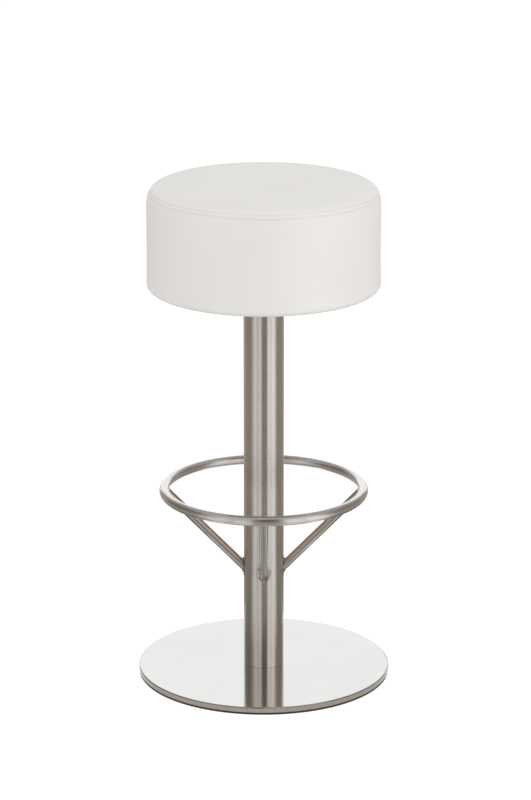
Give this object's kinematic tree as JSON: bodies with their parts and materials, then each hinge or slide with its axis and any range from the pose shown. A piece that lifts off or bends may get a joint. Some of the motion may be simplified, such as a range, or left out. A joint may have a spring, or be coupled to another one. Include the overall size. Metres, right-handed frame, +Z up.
{
  "type": "bar stool",
  "caption": "Round upholstered drum seat that swivels on a steel tube column, with a welded ring footrest and a weighted disc base.",
  "frame": {"origin": "middle of the floor face, on the column's axis", "axes": "+Z up along the column, -Y towards the front of the stool, +X to its right in the picture"},
  "size_m": [0.3999, 0.4, 0.8],
  "materials": {
    "brushed_steel": "satin",
    "zinc_plate": "satin",
    "fastener_steel": "satin",
    "ball_steel": "polished",
    "ballast": "matte",
    "black_rubber": "matte",
    "leatherette": "satin",
    "foam": "matte",
    "plywood": "matte",
    "dust_cloth": "matte"
  },
  "bodies": {
    "frame": {"floor_ring": "black_rubber", "base_weight": "ballast", "base_cover": "brushed_steel", "base_screws": "fastener_steel", "base_washers": "fastener_steel", "column_foot_plug": "zinc_plate", "column_tube": "brushed_steel", "footrest_ring": "brushed_steel", "footrest_strut_front": "brushed_steel", "footrest_strut_right": "brushed_steel", "footrest_strut_rear": "brushed_steel", "footrest_strut_left": "brushed_steel", "strut_foot_welds": "brushed_steel", "strut_head_welds": "brushed_steel", "column_flange": "zinc_plate", "flange_weld": "zinc_plate", "swivel_lower_plate": "zinc_plate", "swivel_screws": "fastener_steel", "swivel_washers": "fastener_steel", "swivel_nuts": "fastener_steel", "swivel_rivet": "zinc_plate"},
    "ball_cage": {"swivel_balls": "ball_steel", "swivel_cage": "zinc_plate"},
    "seat": {"swivel_upper_plate": "zinc_plate", "seat_screws": "fastener_steel", "seat_tee_nuts": "fastener_steel", "seat_board": "plywood", "seat_foam": "foam", "cover_top_panel": "leatherette", "cover_side_band": "leatherette", "dust_cover": "dust_cloth", "staples": "fastener_steel"}
  },
  "joints": [
    {"name": "seat_swivel", "type": "hinge", "parent": "frame", "child": "seat", "pos_m": [0, 0, 0.6287], "axis": [0, 0, 1], "continuous": true},
    {"name": "ball_cage_turn", "type": "hinge", "parent": "frame", "child": "ball_cage", "pos_m": [0, 0, 0.6287], "axis": [0, 0, 1], "continuous": true}
  ],
  "couplings": [
    {"joint": "ball_cage_turn", "follows": "seat_swivel", "ratio": 0.5}
  ]
}
